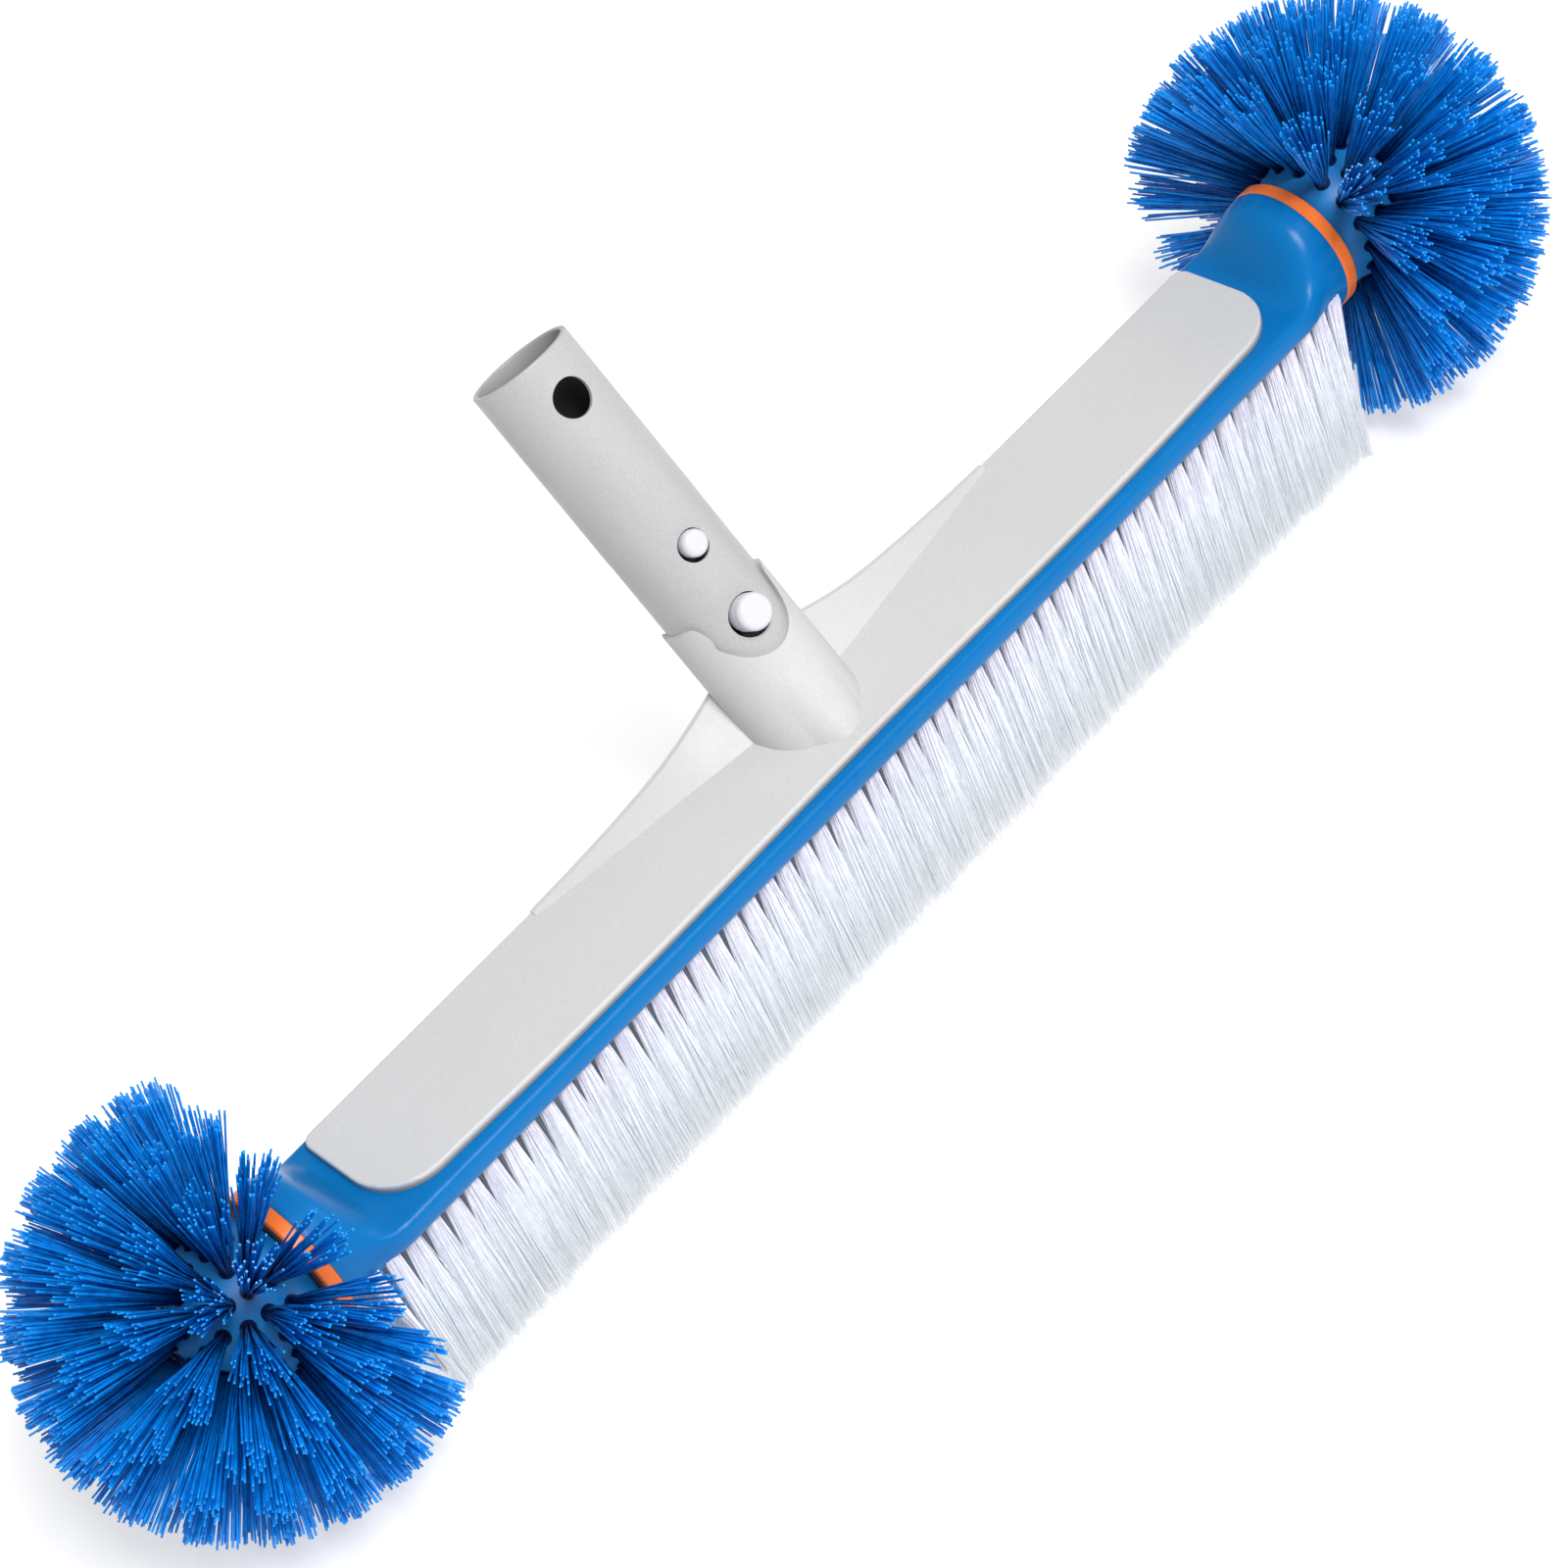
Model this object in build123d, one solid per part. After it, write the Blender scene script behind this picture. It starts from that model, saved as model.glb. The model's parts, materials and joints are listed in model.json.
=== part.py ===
"""Pool wall brush: a beam of scrub bristles with a ball brush at each end and a pole handle.

Millimetres. X runs along the beam, -Y is the front, +Z is up. The bristle tips lie on z = 0.
The handle leans back, towards +Y.
"""
from build123d import *
from math import cos, radians, sin, sqrt
import os

# overall levels
DECK_TOP = 62.5
DECK_THICK = 2.5
DECK_SEAM = 0.03
BLOCK_TOP = DECK_TOP - DECK_THICK - DECK_SEAM
BLOCK_BOTTOM = 52.8
BEAM_AXIS = 57.6

# deck cover outline
DECK_BACK = 19.5
DECK_FRONT_MIDDLE = -18.3
DECK_FRONT_WIDE = -19.0
WIDE_AT = 82.0
DECK_FRONT_END = -17.8
WAVE_END = 135.0
BACK_CORNER = 164.3
FRONT_CORNER = 165.0
FRONT_CORNER_Y = -16.8
BACK_CORNER_R = 3.5
FRONT_CORNER_R = 16.0
DECK_EDGE_R = 0.7

# rear gusset: distance from the middle, how far forward its slope starts, and its height
GUSSET = [
    (0.0, 5.0, 13.5),
    (12.0, 6.0, 11.4),
    (17.0, 6.8, 9.6),
    (22.0, 7.4, 7.8),
    (28.0, 8.3, 5.9),
    (35.0, 9.4, 4.2),
    (43.0, 10.7, 3.0),
    (54.0, 12.2, 1.9),
    (68.0, 14.4, 1.0),
    (84.0, 17.0, 0.4),
]
GUSSET_WEB_FRONT = 18.2

# handle: it crosses the deck top at HANDLE_Y and rises HANDLE_TILT degrees from the deck
HANDLE_Y = 6.2
HANDLE_TILT = 59.5
TUBE_MOUTH = 109.8
TUBE_END = 12.0
TUBE_R = 14.25
TUBE_RELIEF_R = 14.15
RELIEF_START = 57.5
RELIEF_END = 55.5
TUBE_BORE_R = 12.75
MOUTH_ROUND = 0.5
HANG_HOLE_AT = 97.2
HANG_HOLE_R = 5.15
COLLAR_R = 15.4
COLLAR_FOOT = -40.0
NOSE_TOP = 12.0
NOSE_OUTLINE = [(0, -14.6), (5.0, -12.6), (10.4, -4.6), (13.6, 5.0), (14.4, 13.0), (10.0, 20.0), (0, 22.5)]
LIP_AT = 33.2
LIP_PEAK = 0.9
LIP_PEAK_AT = 12.6
LIP_RUN_OUT = 3.0
LIP_CUT_HEIGHT = 12.0
NOTCH_SPREAD = 55.0
NOTCH_R = 10.6
NOTCH_AT = 28.1
NOTCH_FLARE = (0.4, 0.6)

# sprung clip inside the tube
PIN_AT = 50.95
PIN_R = 3.5
PIN_HOLE_R = 4.3
PIN_HOLE_SHIFT = 0.55
PIN_PROUD = 2.5
BUTTON_AT = 28.75
BUTTON_R = 4.8
BUTTON_HOLE_R = 5.7
BUTTON_HOLE_SHIFT = 0.65
BUTTON_PROUD = 4.4
DOME_R = 1.6
DOME_SHARE = 0.6
PIVOT_AT = 77.0
PIVOT_OFF = 2.5
PIVOT_BEAD_R = 1.8
LEG_THICK = 1.6
LEG_WIDTH = 8.0
LEG_OUT = 9.9
LEG_FOOT = 22.0
BRIDGE_TOP = 82.0
BRIDGE_DEPTH = 10.0
SEAT_GAP = 0.3

# blue brush block and its round necks
BLOCK_HALF_WIDTH = 22.0
BLOCK_LOWER_R = 2.6
BLOCK_UPPER_R = 2.4
BLOCK_STRAIGHT = 165.0
NECK_R = 19.5
NECK_END = 185.0
# the neck's sections: place along X, and how far each has turned from the block's section to a round
NECK_BLEND = [
    (165.0, 0.0),
    (167.5, 0.05),
    (170.0, 0.2),
    (172.5, 0.43),
    (175.0, 0.69),
    (177.5, 0.89),
    (180.0, 0.975),
    (182.5, 1.0),
    (185.0, 1.0),
]
CORNER_STEPS = 4
FLAT_STEPS = [-0.94, -0.65, -0.32, 0.0, 0.32, 0.65, 0.94]
SPIGOT_R = 14.0
SPIGOT_END = 188.4
TUFT_PITCH = 6.5
TUFT_COUNT = 50
TUFT_HOLE_Y = 19.0
TUFT_HOLE_R = 2.6
TUFT_HOLE_DEPTH = 1.6

# bristle rows
ROW_COUNT = 5
ROW_PITCH = 9.0
ROW_THICK = 7.2
ROW_FLARE = 0.4
ROW_ROOT_END = 181.5
ROW_TIP_END = 173.5

# end pieces
RING_R = 19.75
RING_WIDTH = 4.0
RING_EDGE = 0.5
HUB_GAP = 0.3
HUB_R = 20.0
HUB_CENTRE = 203.0
HUB_BORE_R = 3.05
AXLE_R = 3.0
AXLE_ROOT = 171.0
AXLE_SHOULDER = 218.3
AXLE_HEAD_R = 5.2
AXLE_HEAD = 2.2
HEAD_POCKET_R = 5.6
WASHER_R = 8.0
WASHER_BORE_R = 3.1
BALL_R = BEAM_AXIS
BALL_SWEEP = 117.0

# how far joined shapes run into each other, and how far cutting shapes run past what they cut
OVERLAP = 0.5
PAST = 5.0
KEEP_SIZE = 80.0
SEAM = 0.05
NEAR = 1.0

HANDLE = Plane(
    origin=(0, HANDLE_Y, DECK_TOP),
    x_dir=(1, 0, 0),
    z_dir=(0, cos(radians(HANDLE_TILT)), sin(radians(HANDLE_TILT))),
)


def rod(radius, start, end):
    """A cylinder about Z between two heights."""
    return Pos(0, 0, (start + end) / 2) * Cylinder(radius, end - start)


def rod_x(radius, start, end):
    """A cylinder about the beam axis between two places along X."""
    length = end - start
    return Pos((start + end) / 2, 0, BEAM_AXIS) * Rot(0, 90, 0) * Cylinder(radius, length)


def rod_y(radius, at, start, end):
    """A cylinder along the handle's own Y at one height on the handle."""
    length = end - start
    return Pos(0, (start + end) / 2, at) * Rot(90, 0, 0) * Cylinder(radius, length)


def in_handle(shape):
    """Place a shape drawn about the handle's own axis."""
    return HANDLE.location * shape


def both_sides(shape):
    """A shape with its mirror image across the middle plane."""
    return shape + mirror(shape, about=Plane.YZ)


# deck cover


def deck_outline():
    """The outline of the plate, seen from above."""
    corner = (FRONT_CORNER, FRONT_CORNER_Y)
    wave = [
        (WAVE_END, DECK_FRONT_END),
        (WIDE_AT, DECK_FRONT_WIDE),
        (0, DECK_FRONT_MIDDLE),
        (-WIDE_AT, DECK_FRONT_WIDE),
        (-WAVE_END, DECK_FRONT_END),
    ]
    edges = [
        Line((-BACK_CORNER, DECK_BACK), (BACK_CORNER, DECK_BACK)),
        Line((BACK_CORNER, DECK_BACK), corner),
        Line(corner, wave[0]),
        Spline(wave),
        Line(wave[-1], (-corner[0], corner[1])),
        Line((-corner[0], corner[1]), (-BACK_CORNER, DECK_BACK)),
    ]
    face = make_face(Curve() + edges)
    at_back = face.vertices().filter_by_position(Axis.Y, DECK_BACK - NEAR, DECK_BACK + NEAR)
    face = fillet(at_back, BACK_CORNER_R)
    near_front = face.vertices().filter_by(lambda v: abs(v.X) > FRONT_CORNER - NEAR and v.Y < 0)
    return fillet(near_front, FRONT_CORNER_R)


def deck_plate():
    """The plate with its rounded top edge."""
    plate = extrude(Pos(0, 0, DECK_TOP - DECK_THICK) * deck_outline(), DECK_THICK)
    rim = plate.faces().sort_by(Axis.Z)[-1].edges()
    return fillet(rim, DECK_EDGE_R)


def gusset_section(x, slope_start, height):
    """The gusset's triangular section at one place along the beam."""
    base = DECK_TOP - OVERLAP
    points = [
        (slope_start, base),
        (slope_start, DECK_TOP),
        (GUSSET_WEB_FRONT, DECK_TOP + height),
        (DECK_BACK, DECK_TOP + height),
        (DECK_BACK, base),
    ]
    wire = Polyline([(x, y, z) for y, z in points], close=True)
    return make_face(wire)


def gusset():
    """The web that rises along the back edge towards the socket."""
    sections = [gusset_section(*row) for row in GUSSET]
    half = loft(sections, ruled=True)
    return both_sides(half)


def lip_cut():
    """What is taken off the socket's mouth: a shallow wave with a deep round notch."""
    top = LIP_AT + LIP_CUT_HEIGHT
    side = COLLAR_R + LIP_RUN_OUT
    turn = radians(NOTCH_SPREAD)
    x = NOTCH_R * sin(turn)
    z = NOTCH_AT - NOTCH_R * cos(turn)
    peak = LIP_AT + LIP_PEAK
    middle = (NOTCH_R + NOTCH_FLARE[0], NOTCH_AT + NOTCH_FLARE[1])
    shoulder = (LIP_PEAK_AT, peak)
    rise = (cos(turn), sin(turn))
    right = Spline([(x, z), middle, shoulder, (side, LIP_AT)], tangents=[rise, (1, 0)])
    left_points = [(-side, LIP_AT), (-LIP_PEAK_AT, peak), (-middle[0], middle[1]), (-x, z)]
    left = Spline(left_points, tangents=[(1, 0), (rise[0], -rise[1])])
    bottom = ThreePointArc((-x, z), (0, NOTCH_AT - NOTCH_R), (x, z))
    rim = Polyline((side, LIP_AT), (side, top), (-side, top), (-side, LIP_AT))
    face = make_face(Curve() + [right, left, bottom, rim])
    return extrude(Plane.XZ * face, COLLAR_R + PAST, both=True)


def nose():
    """The bullet nose: a blend from the round collar down to its outline on the plate."""
    outline = Spline(NOSE_OUTLINE + [(-x, y) for x, y in NOSE_OUTLINE[-2:0:-1]], periodic=True)
    foot = Pos(0, 0, DECK_TOP - OVERLAP) * make_face(outline)
    ring = in_handle(Pos(0, 0, NOSE_TOP) * Circle(COLLAR_R))
    return loft([foot, ring], ruled=True)


def socket_body():
    """The socket's outside: a round collar that runs down into the plate."""
    collar = rod(COLLAR_R, COLLAR_FOOT, LIP_AT + LIP_RUN_OUT) - lip_cut()
    collar = in_handle(collar)
    underside = DECK_TOP - DECK_THICK
    keep = Pos(0, 0, underside + KEEP_SIZE / 2) * Box(KEEP_SIZE, KEEP_SIZE, KEEP_SIZE)
    return collar & keep


def deck_cover():
    """Plate, gusset and socket as one moulding."""
    body = deck_plate() + gusset() + socket_body() + nose()
    return body - in_handle(rod(TUBE_RELIEF_R, TUBE_END, TUBE_MOUTH + PAST))


# handle tube


def tube_side_holes():
    """The hanging hole and the four holes of the clip."""
    reach = TUBE_R + PAST
    holes = rod_y(HANG_HOLE_R, HANG_HOLE_AT, -reach, reach)
    holes += rod_y(PIN_HOLE_R, PIN_AT - PIN_HOLE_SHIFT, -reach, reach)
    holes += rod_y(BUTTON_HOLE_R, BUTTON_AT - BUTTON_HOLE_SHIFT, -reach, reach)
    return holes


def tube_profile():
    """Half section of the tube, with its rounded mouth and its slim inner end."""
    outer = TUBE_R - MOUTH_ROUND
    inner = TUBE_BORE_R + MOUTH_ROUND
    turn = MOUTH_ROUND * (1 - sqrt(0.5))
    edges = [
        Line((TUBE_BORE_R, TUBE_END), (TUBE_RELIEF_R, TUBE_END)),
        Line((TUBE_RELIEF_R, TUBE_END), (TUBE_RELIEF_R, RELIEF_END)),
        Line((TUBE_RELIEF_R, RELIEF_END), (TUBE_R, RELIEF_START)),
        Line((TUBE_R, RELIEF_START), (TUBE_R, TUBE_MOUTH - MOUTH_ROUND)),
        ThreePointArc(
            (TUBE_R, TUBE_MOUTH - MOUTH_ROUND),
            (TUBE_R - turn, TUBE_MOUTH - turn),
            (outer, TUBE_MOUTH),
        ),
        Line((outer, TUBE_MOUTH), (inner, TUBE_MOUTH)),
        ThreePointArc(
            (inner, TUBE_MOUTH),
            (TUBE_BORE_R + turn, TUBE_MOUTH - turn),
            (TUBE_BORE_R, TUBE_MOUTH - MOUTH_ROUND),
        ),
        Line((TUBE_BORE_R, TUBE_MOUTH - MOUTH_ROUND), (TUBE_BORE_R, TUBE_END)),
    ]
    return make_face(Curve() + edges)


def handle_tube():
    """The tube that slides into a pole."""
    tube = revolve(Plane.XZ * tube_profile(), Axis.Z)
    return in_handle(tube - tube_side_holes())


# sprung clip


def button(radius, at, proud, root):
    """A round button that points to the handle's front, with a domed end."""
    tip = TUBE_R + proud
    body = rod_y(radius, at, -tip, -root)
    end_rim = body.edges().filter_by(GeomType.CIRCLE).sort_by(Axis.Y)[0]
    return fillet(end_rim, min(DOME_R, proud * DOME_SHARE))


def clip_leg():
    """The front leg: a strip from its pivot bead to its foot, with a pin and a button."""
    run = PIVOT_AT - BUTTON_AT
    slope = (LEG_OUT - PIVOT_OFF) / run
    foot_out = PIVOT_OFF + slope * (PIVOT_AT - LEG_FOOT)
    half = LEG_THICK / 2
    strip = Polyline(
        (-PIVOT_OFF + half, PIVOT_AT),
        (-foot_out + half, LEG_FOOT),
        (-foot_out - half, LEG_FOOT),
        (-PIVOT_OFF - half, PIVOT_AT),
        close=True,
    )
    leg = extrude(Plane.YZ * make_face(strip), LEG_WIDTH / 2, both=True)
    bead = Pos(0, -PIVOT_OFF, PIVOT_AT) * Rot(0, 90, 0) * Cylinder(PIVOT_BEAD_R, LEG_WIDTH)
    pin_root = PIVOT_OFF + slope * (PIVOT_AT - PIN_AT)
    leg = leg + bead + button(PIN_R, PIN_AT, PIN_PROUD, pin_root)
    leg += button(BUTTON_R, BUTTON_AT, BUTTON_PROUD, LEG_OUT)
    return leg


def clip_bridge():
    """The fixed head of the clip, held between the tube's walls, with a seat for each leg."""
    depth = BRIDGE_TOP - PIVOT_AT
    block = Pos(0, 0, PIVOT_AT + depth / 2) * Box(2 * TUBE_BORE_R, BRIDGE_DEPTH, depth)
    block &= rod(TUBE_BORE_R, PIVOT_AT - PAST, BRIDGE_TOP + PAST)
    for side in (-1, 1):
        seat = Pos(0, side * PIVOT_OFF, PIVOT_AT) * Rot(0, 90, 0)
        block -= seat * Cylinder(PIVOT_BEAD_R + SEAT_GAP, LEG_WIDTH + 2 * SEAT_GAP)
    return in_handle(block)


# brush block


def block_outline():
    """Points round the block's section, from the middle of its underside."""
    w = BLOCK_HALF_WIDTH
    low = BLOCK_LOWER_R
    high = BLOCK_UPPER_R
    corners = [
        (w - low, BLOCK_BOTTOM + low, low, -90),
        (w - high, BLOCK_TOP - high, high, 0),
        (high - w, BLOCK_TOP - high, high, 90),
        (low - w, BLOCK_BOTTOM + low, low, 180),
    ]
    points = [(step * (w - low), BLOCK_BOTTOM) for step in FLAT_STEPS if step >= 0]
    for number, (y, z, radius, start) in enumerate(corners):
        for step in range(CORNER_STEPS + 1):
            angle = radians(start + 90 * step / CORNER_STEPS)
            points.append((y + radius * cos(angle), z + radius * sin(angle)))
        if number == 1:
            points += [(-step * (w - high), BLOCK_TOP) for step in FLAT_STEPS]
    points += [(step * (w - low), BLOCK_BOTTOM) for step in FLAT_STEPS if step < 0]
    return points


def round_outline(points):
    """For each point, the one that lies as far round a circle about the beam axis."""
    legs = [sqrt((a[0] - b[0]) ** 2 + (a[1] - b[1]) ** 2) for a, b in zip(points, points[1:])]
    closing = sqrt((points[0][0] - points[-1][0]) ** 2 + (points[0][1] - points[-1][1]) ** 2)
    around = sum(legs) + closing
    result = []
    gone = 0
    for leg in [0] + legs:
        gone += leg
        angle = radians(360 * gone / around - 90)
        result.append((NECK_R * cos(angle), BEAM_AXIS + NECK_R * sin(angle)))
    return result


def neck_section(x, blend):
    """One section of block or neck, between the block's own section and a full round."""
    points = []
    for flat, full in zip(block_outline(), round_outline(block_outline())):
        y = (1 - blend) * flat[0] + blend * full[0]
        z = (1 - blend) * flat[1] + blend * full[1]
        points.append((x, y, z))
    return make_face(Spline(points, periodic=True))


def block_body():
    """The straight part of the block."""
    return extrude(neck_section(-BLOCK_STRAIGHT, 0), 2 * BLOCK_STRAIGHT, dir=(1, 0, 0))


def neck():
    """The right neck: the end of the block turning into a round collar, and the spigot beyond."""
    body = loft([neck_section(*row) for row in NECK_BLEND])
    return body + rod_x(SPIGOT_R, NECK_END - OVERLAP, SPIGOT_END)


def tuft_holes():
    """Shallow pockets of the front and back tufts, which scallop the lower edges."""
    pocket = Cylinder(TUFT_HOLE_R, 2 * TUFT_HOLE_DEPTH)
    start = -TUFT_PITCH * (TUFT_COUNT - 1) / 2
    places = []
    for i in range(TUFT_COUNT):
        places.append(Pos(start + i * TUFT_PITCH, -TUFT_HOLE_Y, BLOCK_BOTTOM))
        places.append(Pos(start + i * TUFT_PITCH, TUFT_HOLE_Y, BLOCK_BOTTOM))
    return [place * pocket for place in places]


def brush_block():
    """The blue moulding, with a bore for each axle."""
    body = block_body() + both_sides(neck())
    body -= both_sides(rod_x(AXLE_R, AXLE_ROOT, SPIGOT_END + PAST))
    return body - tuft_holes()


# bristle rows


def bristle_row(number, block):
    """One row of scrub bristles as a slab, slanted at both ends to clear the balls."""
    y = (number - (ROW_COUNT + 1) / 2) * ROW_PITCH
    half = ROW_THICK / 2
    front = y - half
    back = y + half
    tip_front = front - (ROW_FLARE if number == 1 else 0)
    tip_back = back + (ROW_FLARE if number == ROW_COUNT else 0)
    top = BLOCK_BOTTOM - SEAM
    section = Polyline((front, top), (back, top), (tip_back, 0), (tip_front, 0), close=True)
    slab = extrude(Plane.YZ * make_face(section), ROW_ROOT_END + PAST, both=True)
    side = Polyline(
        (-ROW_ROOT_END, BLOCK_BOTTOM),
        (ROW_ROOT_END, BLOCK_BOTTOM),
        (ROW_TIP_END, 0),
        (-ROW_TIP_END, 0),
        close=True,
    )
    slab &= extrude(Plane.XZ * make_face(side), KEEP_SIZE, both=True)
    return slab - block


# ball ends, drawn at the right-hand end


def accent_ring():
    """The contrasting band between neck and ball."""
    ring = rod_x(RING_R, NECK_END, NECK_END + RING_WIDTH)
    ring = chamfer(ring.edges(), RING_EDGE)
    return ring - rod_x(SPIGOT_R, NECK_END - PAST, NECK_END + RING_WIDTH + PAST)


def hub_washer():
    """The thrust washer on the spigot's face."""
    end = NECK_END + RING_WIDTH
    bore = rod_x(WASHER_BORE_R, SPIGOT_END - PAST, end + PAST)
    return rod_x(WASHER_R, SPIGOT_END, end) - bore


def hub_axle():
    """The headed axle, pressed into the neck."""
    shank = rod_x(AXLE_R, AXLE_ROOT, AXLE_SHOULDER)
    return shank + rod_x(AXLE_HEAD_R, AXLE_SHOULDER, AXLE_SHOULDER + AXLE_HEAD)


def ball_hub():
    """The round hub that turns on the axle."""
    face_x = NECK_END + RING_WIDTH + HUB_GAP
    ball = Pos(HUB_CENTRE, 0, BEAM_AXIS) * Sphere(HUB_R)
    end_x = HUB_CENTRE + HUB_R + PAST
    ball -= Pos(face_x - KEEP_SIZE / 2, 0, BEAM_AXIS) * Box(KEEP_SIZE, KEEP_SIZE, KEEP_SIZE)
    ball -= rod_x(HUB_BORE_R, face_x - PAST, end_x)
    return ball - rod_x(HEAD_POCKET_R, AXLE_SHOULDER - HUB_GAP, end_x)


def ball_bristles():
    """The ball of bristles as a thick shell round the hub, open towards the neck."""
    end = radians(BALL_SWEEP)
    mid = end / 2
    ring = [(HUB_R, 0), (HUB_R, mid), (HUB_R, end), (BALL_R, end), (BALL_R, mid), (BALL_R, 0)]
    p = [(HUB_CENTRE + r * cos(t), r * sin(t)) for r, t in ring]
    edges = [
        ThreePointArc(p[0], p[1], p[2]),
        Line(p[2], p[3]),
        ThreePointArc(p[3], p[4], p[5]),
        Line(p[5], p[0]),
    ]
    shell = revolve(Plane.XZ * make_face(Curve() + edges), Axis.X)
    return Pos(0, 0, BEAM_AXIS) * shell


def rear_leg():
    """The front leg turned half a turn about the handle."""
    return in_handle(Rot(0, 0, 180) * clip_leg())


def build():
    """Every piece by name."""
    pieces = {
        "deck_cover": deck_cover(),
        "handle_tube": handle_tube(),
        "clip_bridge": clip_bridge(),
        "front_clip_leg": in_handle(clip_leg()),
        "rear_clip_leg": rear_leg(),
        "brush_block": brush_block(),
    }
    for number in range(1, ROW_COUNT + 1):
        pieces[f"bristle_row_{number}"] = bristle_row(number, pieces["brush_block"])
    ends = {
        "accent_ring": accent_ring(),
        "ball_hub": ball_hub(),
        "ball_bristles": ball_bristles(),
        "hub_axle": hub_axle(),
        "hub_washer": hub_washer(),
    }
    for name, shape in ends.items():
        pieces[f"right_{name}"] = shape
        pieces[f"left_{name}"] = mirror(shape, about=Plane.YZ)
    return pieces


os.makedirs("parts", exist_ok=True)
for name, shape in build().items():
    export_step(shape, f"parts/{name}.step")
    box = shape.bounding_box()
    print(name, len(shape.solids()), round(shape.volume, 1), box.min, box.max)
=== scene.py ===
"""Pool wall brush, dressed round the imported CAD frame. Metres, in the frame's own axes."""
import json
import math

import bpy
import numpy as np
from mathutils import Matrix, Vector


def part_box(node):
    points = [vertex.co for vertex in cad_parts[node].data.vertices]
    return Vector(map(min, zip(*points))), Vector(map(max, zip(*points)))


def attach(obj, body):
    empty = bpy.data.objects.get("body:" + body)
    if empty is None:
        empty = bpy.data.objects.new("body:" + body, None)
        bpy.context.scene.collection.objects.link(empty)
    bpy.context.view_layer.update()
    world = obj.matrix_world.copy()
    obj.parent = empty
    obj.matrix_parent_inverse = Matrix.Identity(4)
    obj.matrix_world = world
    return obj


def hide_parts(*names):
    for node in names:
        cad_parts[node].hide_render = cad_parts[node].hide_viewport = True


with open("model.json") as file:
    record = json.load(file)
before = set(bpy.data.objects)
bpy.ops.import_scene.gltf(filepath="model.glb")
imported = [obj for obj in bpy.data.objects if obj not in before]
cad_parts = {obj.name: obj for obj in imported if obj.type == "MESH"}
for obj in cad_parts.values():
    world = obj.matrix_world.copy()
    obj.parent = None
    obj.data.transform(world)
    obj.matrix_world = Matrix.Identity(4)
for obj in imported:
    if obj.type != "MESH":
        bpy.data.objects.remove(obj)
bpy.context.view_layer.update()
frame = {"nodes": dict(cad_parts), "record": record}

MM = 0.001
rng = np.random.default_rng(7)

# bristle rows, the outer two of which stand in the pockets along the block's lower edges
ROWS = [f"bristle_row_{number}" for number in range(1, 6)]
OUTER_ROWS = (0, 4)
TUFT_PITCH = 6.5 * MM
TUFTS_PER_ROW = 56
OUTER_ROOT_Y = 19.0 * MM
OUTER_TIP_Y = 17.9 * MM
WHITE_SIDES = 3
WHITE_R = {"outer": 0.14 * MM, "inner": 0.17 * MM}
WHITE_PER_TUFT = {"outer": 220, "inner": 110}
WHITE_ALONG = [0.0, 0.5, 1.0]
WHITE_TIP_TAPER = 0.8
WHITE_ROOT_R = 2.15 * MM
WHITE_ROOT_DEPTH = 1.2 * MM
WHITE_ROOT_END = 181.2 * MM
WHITE_TIP_END = 174.6 * MM
WHITE_TIP_R_X = 6.0 * MM
WHITE_TIP_R_Y = 3.48 * MM
WHITE_CLUMPS = 9
WHITE_CLUMPING = 0.28
WHITE_LOOSE = 0.7 * MM
WHITE_BEND = 0.15 * MM
WHITE_UNEVEN = 1.3 * MM
END_PACKING = 0.25

# ball bristles: for each ring of tufts, its angle from the outer pole and its number of tufts
BALL_RINGS = {
    "left": [(0, 1), (20, 6), (38, 10), (56, 14), (73, 17), (90, 18), (106, 16)],
    "right": [(0, 1), (20, 6), (38, 11), (56, 15), (73, 18), (91, 19), (109, 16)],
}
BLUE_PER_TUFT = 48
BLUE_R = 0.29 * MM
BLUE_SIDES = 5
BLUE_ROOT_R = 1.35 * MM
BLUE_ROOT_AT = 0.985
BLUE_FAN = math.radians(8.4)
BLUE_STRAY = 0.014
BLUE_BEND = 0.35 * MM
BLUE_SHORTEST = 0.915
BLUE_ALONG = [0.0, 0.5, 0.985, 1.0]
LAST_CONE = math.radians(116.5)
# painted shade: a dark disc at each tuft's root stands for the shade in its socket
SOCKET_SHADE_R = 2.15 * MM
SOCKET_SHADE_SIDES = 12
SOCKET_SHADE_ROOT_AT = 0.96
SOCKET_SHADE_PROUD = 0.12 * MM

# a heading with more than this share of X counts as along X, and a length under TINY as none
ALONG_X = 0.8
TINY = 1e-9

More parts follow.
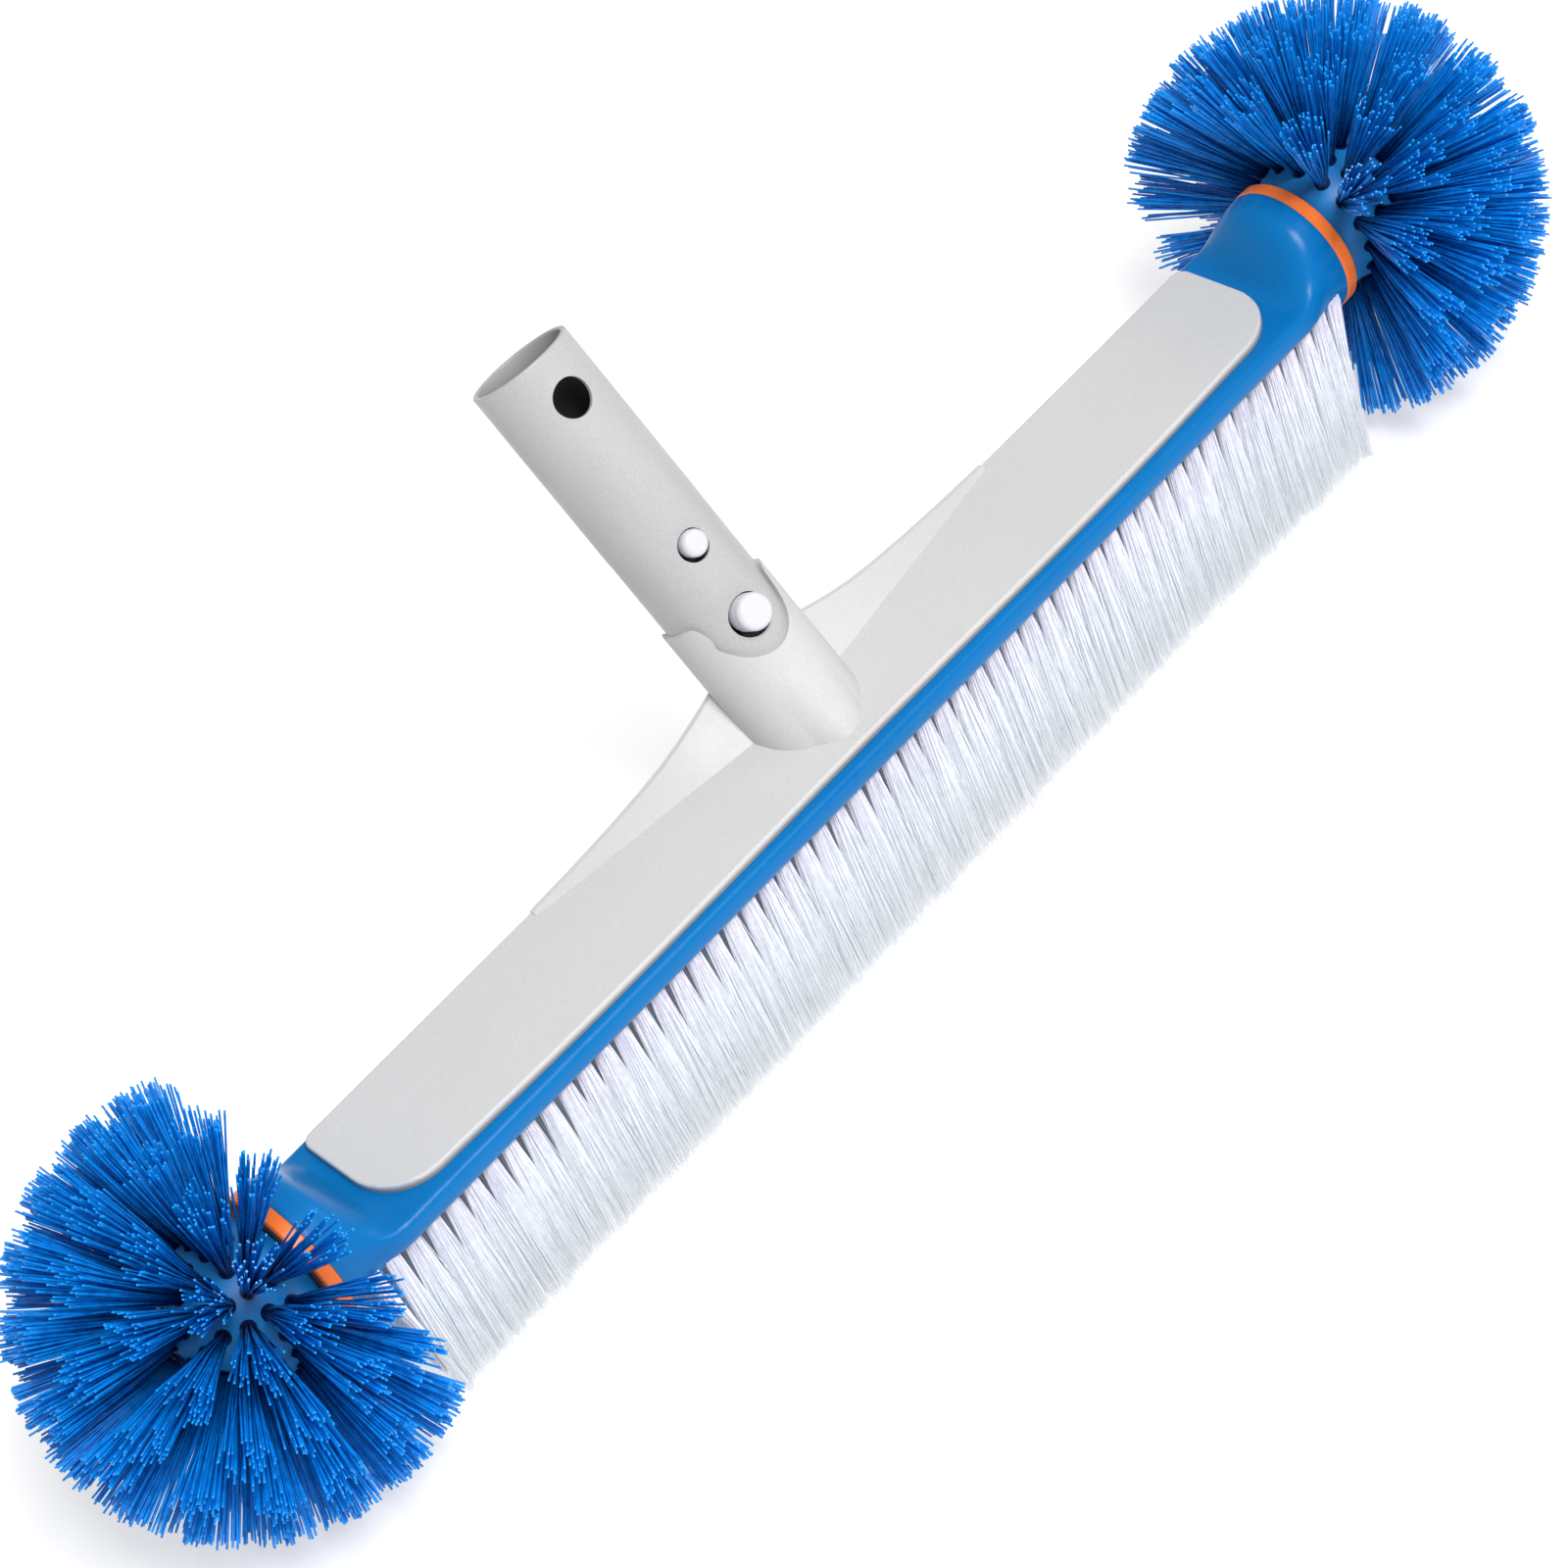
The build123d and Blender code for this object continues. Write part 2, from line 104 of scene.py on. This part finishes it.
# moulded finishes: the CAD nodes that have each, its two shades and its surface
FINISHES = {
    "deck_grey": {
        "nodes": ["deck_cover"],
        "shades": [(0.575, 0.575, 0.575), (0.6, 0.6, 0.6)],
        "speckle": (0.96, 0.96, 0.96),
        "roughness": 0.5,
        "reflect": 0.5,
        "grain": 1300,
        "relief": 0.1,
    },
    "tube_grey": {
        "nodes": ["handle_tube"],
        "shades": [(0.455, 0.455, 0.455), (0.495, 0.495, 0.495)],
        "speckle": (0.94, 0.94, 0.94),
        "roughness": 0.4,
        "reflect": 0.5,
        "grain": 1500,
        "relief": 0.12,
    },
    "clip_white": {
        "nodes": ["clip_bridge", "front_clip_leg", "rear_clip_leg"],
        "shades": [(0.64, 0.64, 0.68), (0.69, 0.69, 0.73)],
        "speckle": (0.98, 0.98, 0.98),
        "roughness": 0.25,
        "reflect": 0.5,
        "grain": 900,
        "relief": 0.03,
    },
    "body_blue": {
        "nodes": ["brush_block"],
        "shades": [(0.0008, 0.148, 0.42), (0.001, 0.163, 0.46)],
        "speckle": (0.96, 0.97, 0.98),
        "roughness": 0.3,
        "reflect": 0.16,
        "grain": 900,
        "relief": 0.03,
    },
    "hub_blue": {
        "nodes": ["left_ball_hub", "right_ball_hub"],
        "shades": [(0.004, 0.17, 0.5), (0.006, 0.2, 0.55)],
        "speckle": (0.96, 0.96, 0.96),
        "roughness": 0.4,
        "reflect": 0.3,
        "grain": 900,
        "relief": 0.03,
    },
    "ring_orange": {
        "nodes": ["left_accent_ring", "right_accent_ring"],
        "shades": [(0.92, 0.18, 0.03), (0.96, 0.21, 0.04)],
        "speckle": (0.96, 0.96, 0.96),
        "roughness": 0.33,
        "reflect": 0.3,
        "grain": 900,
        "relief": 0.03,
    },
    "washer_grey": {
        "nodes": ["left_hub_washer", "right_hub_washer"],
        "shades": [(0.7, 0.7, 0.7), (0.75, 0.75, 0.75)],
        "speckle": (0.95, 0.95, 0.95),
        "roughness": 0.5,
        "reflect": 0.5,
        "grain": 900,
        "relief": 0.05,
    },
}
DRIFT_SCALE = 18
GLOSS_SCALE = 60
GLOSS_LESS = 0.05
GLOSS_MORE = 0.06
RELIEF_FINER = 1.6
RELIEF_DEPTH = 0.2 * MM
NO_TINT = (1, 1, 1)

# nylon finishes: colours from the root, 0, to the tip, 1, with painted shade at the dark roots and
# painted light at the bright tips, and tints that differ between strands
NYLONS = {
    "white": {
        "plain": (0.92, 0.95, 1.0),
        "roughness": 0.4,
        "reflect": 0.3,
        "shades": [
            (0.0, (0.64, 0.61, 0.73)),
            (0.14, (0.73, 0.73, 0.82)),
            (0.45, (0.8, 0.83, 0.87)),
            (1.0, (0.97, 0.99, 1.0)),
        ],
        "tints": [(0.35, (0.92, 0.92, 0.95)), (0.6, NO_TINT)],
        "tint_scale": 450,
        "gloss": (0.34, 0.48),
        "gloss_scale": 300,
    },
    "blue": {
        "plain": (0.002, 0.15, 0.55),
        "roughness": 0.3,
        "reflect": 0.25,
        "shades": [
            (0.0, (0.0006, 0.01, 0.06)),
            (0.05, (0.001, 0.06, 0.26)),
            (0.2, (0.0015, 0.17, 0.56)),
            (0.6, (0.002, 0.235, 0.72)),
            (0.97, (0.003, 0.28, 0.82)),
            (1.0, (0.006, 0.33, 0.9)),
        ],
        "tints": [(0.35, (0.6, 0.66, 0.75)), (0.5, (0.95, 0.95, 1)), (0.65, NO_TINT)],
        "tint_scale": 320,
        "gloss": (0.26, 0.38),
        "gloss_scale": 200,
    },
}
# painted light: the white filaments glow faintly, the outer rows more and the inner rows hardly,
# so these look shaded
WHITE_PAINTED_GLOW = {"outer": 0.14, "inner": 0.02}
WHITE_PAINTED_GLOW_COLOUR = (0.86, 0.92, 1, 1)

# turned steel
STEEL_COLOUR = (0.55, 0.56, 0.58)
STEEL_ROUGHNESS = 0.3
STEEL_GLOSS = (0.22, 0.4)
STEEL_GLOSS_SCALE = 900
STEEL_GRAIN = 1500
STEEL_RELIEF = 0.1
STEEL_RELIEF_DEPTH = 0.1 * MM

# the deck's lower edge, painted dark as shade: full up to one height above the underside, gone at
# the next
EDGE_FULL = 0.7 * MM
EDGE_NONE = 1.5 * MM
EDGE_PAINTED_SHADES = [(0.3, 0.27, 0.24), (0.33, 0.297, 0.264)]
EDGE_SCALE = 40

# the handle's bore with painted shade inside: its radius, how far outside it the painted shade
# is still full and then gone, and two heights up the handle from the middle of its mount
BORE_R = 12.75 * MM
BORE_FULL = 0.1 * MM
BORE_NONE = 0.5 * MM
MOUTH_AT = 27 * MM
DEEP_AT = 17 * MM
BORE_PAINTED_SHADES = {
    "tube_grey": [(0.05, 0.05, 0.05), (0.42, 0.42, 0.42)],
    "clip_white": [(0.03, 0.03, 0.03), (0.03, 0.03, 0.03)],
}

# noise seldom leaves NOISE_RANGE; its detail is finer in gloss and coarser between strands
NOISE_RANGE = (0.3, 0.7)
SPECKLE_RANGE = (0.42, 0.58)
DETAIL = 2
GLOSS_DETAIL = 3
STRAND_DETAIL = 1

# floor and lights: each light's azimuth, elevation, distance, size and power
WHITE = (1, 1, 1, 1)
FLOOR_HALF = 6.0
FLOOR_GLOW = 0.52
FLOOR_SHADES = [(0.62, 0.62, 0.62), (0.63, 0.63, 0.63)]
FLOOR_SCALE = 3
FLOOR_ROUGHNESS = 0.8
WORLD_STRENGTH = 0.42
LIGHTS = {"key": (0, 57, 2.6, 1.0, 63), "side": (80, 35, 2.6, 1.2, 8)}
LIGHTS_AIM = Vector((0, 0, 0.05))

# camera
CAMERA_AZIMUTH = -26.8
CAMERA_ELEVATION = 44.2
CAMERA_ROLL = -25.8
CAMERA_DISTANCE = 1.05
CAMERA_LENS = 101.7
CAMERA_SENSOR = 36
CAMERA_REACH = 50
CAMERA_AIM = Vector((-0.0319, -0.0312, 0.0852))


# meshes


def link(name, mesh):
    """A new object that shows this mesh."""
    obj = bpy.data.objects.new(name, mesh)
    bpy.context.scene.collection.objects.link(obj)
    return obj


def perpendiculars(heading):
    """Two unit vectors square to each heading and to each other."""
    helper = np.where(np.abs(heading[:, :1]) < ALONG_X, [[1.0, 0, 0]], [[0, 1.0, 0]])
    u = np.cross(heading, helper)
    u /= np.linalg.norm(u, axis=1, keepdims=True)
    return u, np.cross(heading, u)


def filament_mesh(lines, radii, sides):
    """Vertices, side faces and end faces of many thin rods.

    lines is (rods, points, 3), and radii is (points,).
    """
    count, points = lines.shape[:2]
    heading = lines[:, -1] - lines[:, 0]
    heading /= np.linalg.norm(heading, axis=1, keepdims=True)
    u, v = perpendiculars(heading)
    turn = rng.uniform(0, 2 * math.pi, count)[:, None] + np.arange(sides) * 2 * math.pi / sides
    around = np.cos(turn)[..., None] * u[:, None] + np.sin(turn)[..., None] * v[:, None]
    vertices = lines[:, :, None] + around[:, None] * np.asarray(radii)[None, :, None, None]
    ring = np.arange(sides)
    quads = []
    for k in range(points - 1):
        low = k * sides + ring
        high = low + sides
        quads.append(np.stack([low, np.roll(low, -1), np.roll(high, -1), high], axis=1))
    quads = np.concatenate(quads)
    starts = (np.arange(count) * points * sides)[:, None, None]
    faces = (quads[None] + starts).reshape(-1, 4)
    last = (points - 1) * sides + ring
    ends = (np.stack([last, ring[::-1]])[None] + starts).reshape(-1, sides)
    return vertices.reshape(-1, 3), faces, ends


def filament_object(name, bundles, material):
    """One piece made of many filaments with closed ends.

    A bundle is its lines, radii, number of sides, and how far along the filament each point is.
    """
    vertices = []
    quads = []
    ends = []
    along = []
    count = 0
    for lines, radii, sides, shares in bundles:
        points, faces, caps = filament_mesh(lines, radii, sides)
        vertices.append(points)
        quads += (faces + count).tolist()
        ends += (caps + count).tolist()
        along.append(np.tile(np.repeat(shares, sides), len(lines)))
        count += len(points)
    mesh = bpy.data.meshes.new(name)
    mesh.from_pydata(np.concatenate(vertices).tolist(), [], quads + ends)
    mesh.materials.append(material)
    mesh.polygons.foreach_set("use_smooth", np.arange(len(quads) + len(ends)) < len(quads))
    share = mesh.attributes.new("along", "FLOAT", "POINT")
    share.data.foreach_set("value", np.concatenate(along).astype(np.float32))
    mesh.update()
    return link(name, mesh)


def in_disc(count):
    """Random points in a unit disc."""
    radius = np.sqrt(rng.uniform(0, 1, count))
    angle = rng.uniform(0, 2 * math.pi, count)
    return np.stack([radius * np.cos(angle), radius * np.sin(angle)], axis=1)


# material nodes


def start_material(name, colour, roughness, reflect=0.5):
    """A material with its shader's plain values set."""
    material = bpy.data.materials.new(name)
    material.use_nodes = True
    shader = material.node_tree.nodes["Principled BSDF"]
    shader.inputs["Base Color"].default_value = (*colour, 1)
    shader.inputs["Roughness"].default_value = roughness
    shader.inputs["Specular IOR Level"].default_value = reflect
    return material, material.node_tree, shader


def place(tree):
    """A point's place in its piece's own coordinates."""
    return tree.nodes.new("ShaderNodeTexCoord").outputs["Object"]


def noise(tree, scale, detail=DETAIL):
    """A noise texture in the piece's own coordinates."""
    texture = tree.nodes.new("ShaderNodeTexNoise")
    texture.inputs["Scale"].default_value = scale
    texture.inputs["Detail"].default_value = detail
    tree.links.new(place(tree), texture.inputs["Vector"])
    return texture.outputs["Fac"]


def ramp(tree, value, stops):
    """A colour ramp with these (position, colour) stops."""
    node = tree.nodes.new("ShaderNodeValToRGB")
    elements = node.color_ramp.elements
    while len(elements) < len(stops):
        elements.new(0.5)
    for element, (position, colour) in zip(elements, stops):
        element.position = position
        element.color = (*colour, 1)
    tree.links.new(value, node.inputs["Fac"])
    return node.outputs["Color"]


def blotches(tree, scale, shades, span=NOISE_RANGE):
    """Two shades that drift into each other with the noise."""
    return ramp(tree, noise(tree, scale), list(zip(span, shades)))


def mapped(tree, value, source, target=(0, 1)):
    """A value mapped from one range to another."""
    node = tree.nodes.new("ShaderNodeMapRange")
    node.inputs["From Min"].default_value = source[0]
    node.inputs["From Max"].default_value = source[1]
    node.inputs["To Min"].default_value = target[0]
    node.inputs["To Max"].default_value = target[1]
    tree.links.new(value, node.inputs["Value"])
    return node.outputs["Result"]


def vary_roughness(tree, shader, span, scale, detail=DETAIL):
    """Roughness that wanders over a span."""
    value = mapped(tree, noise(tree, scale, detail), NOISE_RANGE, span)
    tree.links.new(value, shader.inputs["Roughness"])


def bump(tree, shader, height, strength, distance):
    """Surface relief from a height."""
    node = tree.nodes.new("ShaderNodeBump")
    node.inputs["Strength"].default_value = strength
    node.inputs["Distance"].default_value = distance
    tree.links.new(height, node.inputs["Height"])
    tree.links.new(node.outputs["Normal"], shader.inputs["Normal"])


def start_mix(tree, a, b, kind):
    """A node that mixes two colours."""
    node = tree.nodes.new("ShaderNodeMix")
    node.data_type = "RGBA"
    node.blend_type = kind
    colours = [socket for socket in node.inputs if socket.type == "RGBA"]
    tree.links.new(a, colours[0])
    tree.links.new(b, colours[1])
    result = next(socket for socket in node.outputs if socket.type == "RGBA")
    return node.inputs["Factor"], result


def multiplied(tree, a, b):
    """One colour times another."""
    share, result = start_mix(tree, a, b, "MULTIPLY")
    share.default_value = 1.0
    return result


def recolour(tree, shader, colour, mask):
    """Lay a colour over the shader's own where the mask is 1."""
    socket = shader.inputs["Base Color"]
    share, result = start_mix(tree, socket.links[0].from_socket, colour, "MIX")
    tree.links.new(mask, share)
    tree.links.new(result, socket)


def vector_step(tree, operation, vector, by=(0, 0, 0)):
    """The outputs of one vector operation on a vector with a fixed one."""
    node = tree.nodes.new("ShaderNodeVectorMath")
    node.operation = operation
    node.inputs[1].default_value = by
    tree.links.new(vector, node.inputs[0])
    return node.outputs


def from_handle_axis(tree):
    """Distance from the handle's axis, and how far up the handle from its mount's middle."""
    mount = next(m for m in frame["record"]["mounts"] if m["name"] == "pole_tube")
    offset = vector_step(tree, "SUBTRACT", place(tree), mount["pos_m"])["Vector"]
    across = vector_step(tree, "CROSS_PRODUCT", offset, mount["axis"])["Vector"]
    distance = vector_step(tree, "LENGTH", across)["Value"]
    return distance, vector_step(tree, "DOT_PRODUCT", offset, mount["axis"])["Value"]


def share_along(tree):
    """How far along its filament a point lies, from root 0 to tip 1."""
    node = tree.nodes.new("ShaderNodeAttribute")
    node.attribute_name = "along"
    return node.outputs["Fac"]


# materials


def moulded(name):
    """Moulded plastic: slow colour drift, fine speckle, uneven gloss and a light grain."""
    finish = FINISHES[name]
    roughness = finish["roughness"]
    grain = finish["grain"]
    light = finish["shades"][1]
    material, tree, shader = start_material(name, light, roughness, finish["reflect"])
    drift = blotches(tree, DRIFT_SCALE, finish["shades"])
    fine = blotches(tree, grain, [finish["speckle"], NO_TINT], SPECKLE_RANGE)
    tree.links.new(multiplied(tree, drift, fine), shader.inputs["Base Color"])
    gloss = (roughness - GLOSS_LESS, roughness + GLOSS_MORE)
    vary_roughness(tree, shader, gloss, GLOSS_SCALE, GLOSS_DETAIL)
    bump(tree, shader, noise(tree, grain * RELIEF_FINER), finish["relief"], RELIEF_DEPTH)
    return material


def paint_bore_shade(material):
    """Paint shade on what lies inside the tube's bore, darker further from its mouth."""
    tree = material.node_tree
    distance, height = from_handle_axis(tree)
    inside = mapped(tree, distance, (BORE_R + BORE_NONE, BORE_R + BORE_FULL))
    depth = mapped(tree, height, (DEEP_AT, MOUTH_AT))
    shade = ramp(tree, depth, list(zip((0, 1), BORE_PAINTED_SHADES[material.name])))
    recolour(tree, tree.nodes["Principled BSDF"], shade, inside)


def paint_lower_edge_shade(material, underside):
    """Paint shade on the lowest part of a moulding's rim."""
    tree = material.node_tree
    split = tree.nodes.new("ShaderNodeSeparateXYZ")
    tree.links.new(place(tree), split.inputs[0])
    low = mapped(tree, split.outputs["Z"], (underside + EDGE_NONE, underside + EDGE_FULL))
    shade = blotches(tree, EDGE_SCALE, EDGE_PAINTED_SHADES)
    recolour(tree, tree.nodes["Principled BSDF"], shade, low)


def nylon(name, kind):
    """Nylon filaments with painted shade at the root and painted light at the tip, slightly
    different from strand to strand.
    """
    finish = NYLONS[kind]
    material, tree, shader = start_material(
        name, finish["plain"], finish["roughness"], finish["reflect"]
    )
    # painted shade towards the roots and painted light towards the tips
    colour = ramp(tree, share_along(tree), finish["shades"])
    tint = ramp(tree, noise(tree, finish["tint_scale"], STRAND_DETAIL), finish["tints"])
    tree.links.new(multiplied(tree, colour, tint), shader.inputs["Base Color"])
    vary_roughness(tree, shader, finish["gloss"], finish["gloss_scale"])
    return material


def set_glow(material, colour, strength):
    """Give a material a faint light of its own."""
    shader = material.node_tree.nodes["Principled BSDF"]
    shader.inputs["Emission Color"].default_value = colour
    shader.inputs["Emission Strength"].default_value = strength


def turned_steel():
    """Turned steel for the axles."""
    material, tree, shader = start_material("turned_steel", STEEL_COLOUR, STEEL_ROUGHNESS)
    shader.inputs["Metallic"].default_value = 1.0
    vary_roughness(tree, shader, STEEL_GLOSS, STEEL_GLOSS_SCALE, GLOSS_DETAIL)
    bump(tree, shader, noise(tree, STEEL_GRAIN), STEEL_RELIEF, STEEL_RELIEF_DEPTH)
    return material


def floor_material():
    """A plain pale floor."""
    material, tree, shader = start_material("floor", FLOOR_SHADES[0], FLOOR_ROUGHNESS)
    tree.links.new(blotches(tree, FLOOR_SCALE, FLOOR_SHADES), shader.inputs["Base Color"])
    set_glow(material, WHITE, FLOOR_GLOW)
    return material


# pieces


def paint(names, material):
    """Give CAD nodes a material."""
    for name in names:
        materials = frame["nodes"][name].data.materials
        materials.clear()
        materials.append(material)


def dress_mouldings():
    """Materials of the pieces whose CAD shape is already right."""
    for name, finish in FINISHES.items():
        material = moulded(name)
        # painted shade on the deck's lower edge
        if name == "deck_grey":
            paint_lower_edge_shade(material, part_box("deck_cover")[0].z)
        # painted shade inside the handle's bore
        if name in BORE_PAINTED_SHADES:
            paint_bore_shade(material)
        paint(finish["nodes"], material)
    paint(["left_hub_axle", "right_hub_axle"], turned_steel())


def clumped(count, clumps):
    """Points in a unit disc drawn together into clumps."""
    centres = in_disc(clumps)
    return centres[rng.integers(0, clumps, count)]


def keep_within(x, limit):
    """Bring places past a limit back inside it, packed closer, in reverse order."""
    past = np.maximum(np.abs(x) - limit, 0)
    return np.sign(x) * (np.minimum(np.abs(x), limit) - END_PACKING * past)


def row_filaments(row, node):
    """The centrelines of one row's filaments, tuft by tuft."""
    low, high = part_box(node)
    outer = row in OUTER_ROWS
    side = -1 if row == 0 else 1
    middle_y = (low.y + high.y) / 2
    root_y = side * OUTER_ROOT_Y if outer else middle_y
    tip_y = side * OUTER_TIP_Y if outer else middle_y
    count = WHITE_PER_TUFT["outer" if outer else "inner"]
    first = -TUFT_PITCH * (TUFTS_PER_ROW - 1) / 2
    lines = []
    for tuft in range(TUFTS_PER_ROW):
        x = first + tuft * TUFT_PITCH
        disc = in_disc(count)
        pull = (1 - WHITE_CLUMPING) * disc + WHITE_CLUMPING * clumped(count, WHITE_CLUMPS)
        loose = rng.normal(0, WHITE_LOOSE, (count, 2))
        root = np.zeros((count, 3))
        root[:, 0] = keep_within(x + disc[:, 0] * WHITE_ROOT_R, WHITE_ROOT_END)
        root[:, 1] = root_y + disc[:, 1] * WHITE_ROOT_R
        root[:, 2] = high.z + WHITE_ROOT_DEPTH
        tip = np.zeros((count, 3))
        tip[:, 0] = keep_within(x + pull[:, 0] * WHITE_TIP_R_X + loose[:, 0], WHITE_TIP_END)
        tip[:, 1] = tip_y + pull[:, 1] * WHITE_TIP_R_Y + loose[:, 1]
        tip[:, 2] = low.z + np.abs(rng.normal(0, WHITE_UNEVEN, count))
        middle = (root + tip) / 2
        middle[:, :2] += rng.normal(0, WHITE_BEND, (count, 2))
        lines.append(np.stack([root, middle, tip], axis=1))
    return np.concatenate(lines)


def make_rows():
    """White bristle rows in place of their CAD slabs."""
    materials = {}
    for kind, name in (("outer", "white_filament"), ("inner", "white_filament_inner")):
        materials[kind] = nylon(name, "white")
        # painted light: the outer rows glow, while the inner ones barely do and so stand darker as
        # if in shade
        set_glow(materials[kind], WHITE_PAINTED_GLOW_COLOUR, WHITE_PAINTED_GLOW[kind])
    for row, node in enumerate(ROWS):
        kind = "outer" if row in OUTER_ROWS else "inner"
        radius = WHITE_R[kind]
        radii = [radius, radius, radius * WHITE_TIP_TAPER]
        bundle = (row_filaments(row, node), radii, WHITE_SIDES, WHITE_ALONG)
        obj = filament_object(f"white_bristles_{row + 1}", [bundle], materials[kind])
        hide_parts(node)
        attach(obj, "beam")


def tuft_axes(side):
    """Unit directions of a ball's tufts, about +X as the outward axis."""
    axes = []
    for ring, (polar, count) in enumerate(BALL_RINGS[side]):
        theta = math.radians(polar)
        across = math.sin(theta)
        for k in range(count):
            phi = 2 * math.pi * (k + 0.5 * (ring % 2)) / count
            axes.append((math.cos(theta), across * math.cos(phi), across * math.sin(phi)))
    return np.array(axes)


def inside_cone(heading, outward):
    """Directions turned back where they lean too far towards the beam."""
    least = math.cos(LAST_CONE)
    across = heading[:, 1:] / np.linalg.norm(heading[:, 1:], axis=1, keepdims=True).clip(TINY)
    too_far = heading[:, 0] * outward < least
    limit = np.column_stack([np.full(len(heading), least * outward), across * math.sin(LAST_CONE)])
    return np.where(too_far[:, None], limit, heading)


def tuft_lines(axis, outward, hub_r, ball_r):
    """The centrelines of one tuft's filaments."""
    u, v = perpendiculars(axis[None])
    disc = in_disc(BLUE_PER_TUFT)
    fan = disc * math.tan(BLUE_FAN) + rng.normal(0, BLUE_STRAY, (BLUE_PER_TUFT, 2))
    root = axis * hub_r * BLUE_ROOT_AT + (disc[:, :1] * u + disc[:, 1:] * v) * BLUE_ROOT_R
    length = (ball_r - hub_r) * rng.uniform(BLUE_SHORTEST, 1, (BLUE_PER_TUFT, 1))
    heading = axis + fan[:, :1] * u + fan[:, 1:] * v
    heading /= np.linalg.norm(heading, axis=1, keepdims=True)
    heading = inside_cone(heading, outward)
    points = [root + heading * length * share for share in BLUE_ALONG]
    points[1] = points[1] + rng.normal(0, BLUE_BEND, (BLUE_PER_TUFT, 3))
    return np.stack(points, axis=1)


def ball_lines(side, outward, hub_r, ball_r):
    """The centrelines of one ball's filaments, and of a dark disc of painted shade at each tuft's
    socket.
    """
    axes = tuft_axes(side) * [outward, 1, 1]
    lines = np.concatenate([tuft_lines(axis, outward, hub_r, ball_r) for axis in axes])
    socket_shade_discs = [[axis * hub_r * SOCKET_SHADE_ROOT_AT, axis * (hub_r + SOCKET_SHADE_PROUD)] for axis in axes]
    reach = np.linalg.norm(lines[:, -1], axis=1, keepdims=True)
    lines[:, -2:] *= np.minimum(1, (ball_r - BLUE_R) / reach)[:, None]
    return lines, np.array(socket_shade_discs)


def make_balls():
    """Ball bristles in place of their CAD shells."""
    material = nylon("blue_filament", "blue")
    for side, outward in (("left", -1), ("right", 1)):
        low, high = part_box(f"{side}_ball_bristles")
        ball_r = (high.y - low.y) / 2
        end = high.x if outward > 0 else low.x
        centre = np.array([end - outward * ball_r, 0, (low.z + high.z) / 2])
        hub_low, hub_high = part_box(f"{side}_ball_hub")
        hub_r = (hub_high.z - hub_low.z) / 2
        lines, socket_shade_discs = ball_lines(side, outward, hub_r, ball_r)
        bundles = [
            (lines + centre, [BLUE_R] * len(BLUE_ALONG), BLUE_SIDES, BLUE_ALONG),
            # the socket discs take the darkest root colour as painted shade
            (socket_shade_discs + centre, [SOCKET_SHADE_R, SOCKET_SHADE_R], SOCKET_SHADE_SIDES, [0.0, 0.0]),
        ]
        obj = filament_object(f"{side}_blue_bristles", bundles, material)
        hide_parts(f"{side}_ball_bristles")
        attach(obj, f"{side}_ball")


# surroundings


def make_floor():
    """The pale floor."""
    half = FLOOR_HALF
    corners = [(-half, -half, 0), (half, -half, 0), (half, half, 0), (-half, half, 0)]
    mesh = bpy.data.meshes.new("floor")
    mesh.from_pydata(corners, [], [(0, 1, 2, 3)])
    mesh.materials.append(floor_material())
    link("floor", mesh)


def direction(azimuth, elevation):
    """The unit vector towards this azimuth and elevation. Azimuth 0 is -Y."""
    a = math.radians(azimuth)
    e = math.radians(elevation)
    return Vector((math.sin(a) * math.cos(e), -math.cos(a) * math.cos(e), math.sin(e)))


def area_light(name, azimuth, elevation, distance, size, power):
    """A soft square light aimed at the brush."""
    data = bpy.data.lights.new(name, "AREA")
    data.shape = "SQUARE"
    data.size = size
    data.energy = power
    light = link(name, data)
    towards = direction(azimuth, elevation)
    light.location = towards * distance + LIGHTS_AIM
    light.rotation_mode = "QUATERNION"
    light.rotation_quaternion = (-towards).to_track_quat("-Z", "Y")


def make_lights():
    """Pale surroundings, a key light high in front and a weak one from the right."""
    world = bpy.data.worlds.new("studio")
    world.use_nodes = True
    background = world.node_tree.nodes["Background"]
    background.inputs["Color"].default_value = WHITE
    background.inputs["Strength"].default_value = WORLD_STRENGTH
    bpy.context.scene.world = world
    for name, values in LIGHTS.items():
        area_light(name, *values)


def make_camera():
    """The camera, turned about its own line of sight."""
    data = bpy.data.cameras.new("camera")
    data.sensor_width = CAMERA_SENSOR
    data.lens = CAMERA_LENS
    data.clip_end = CAMERA_REACH
    camera = link("camera", data)
    back = direction(CAMERA_AZIMUTH, CAMERA_ELEVATION)
    camera.location = CAMERA_AIM + back * CAMERA_DISTANCE
    camera.rotation_mode = "QUATERNION"
    level = (-back).to_track_quat("-Z", "Y")
    roll = Matrix.Rotation(math.radians(CAMERA_ROLL), 3, "Z").to_quaternion()
    camera.rotation_quaternion = level @ roll
    bpy.context.scene.camera = camera


dress_mouldings()
make_rows()
make_balls()
make_floor()
make_lights()
make_camera()
bpy.context.scene.view_settings.view_transform = "Standard"
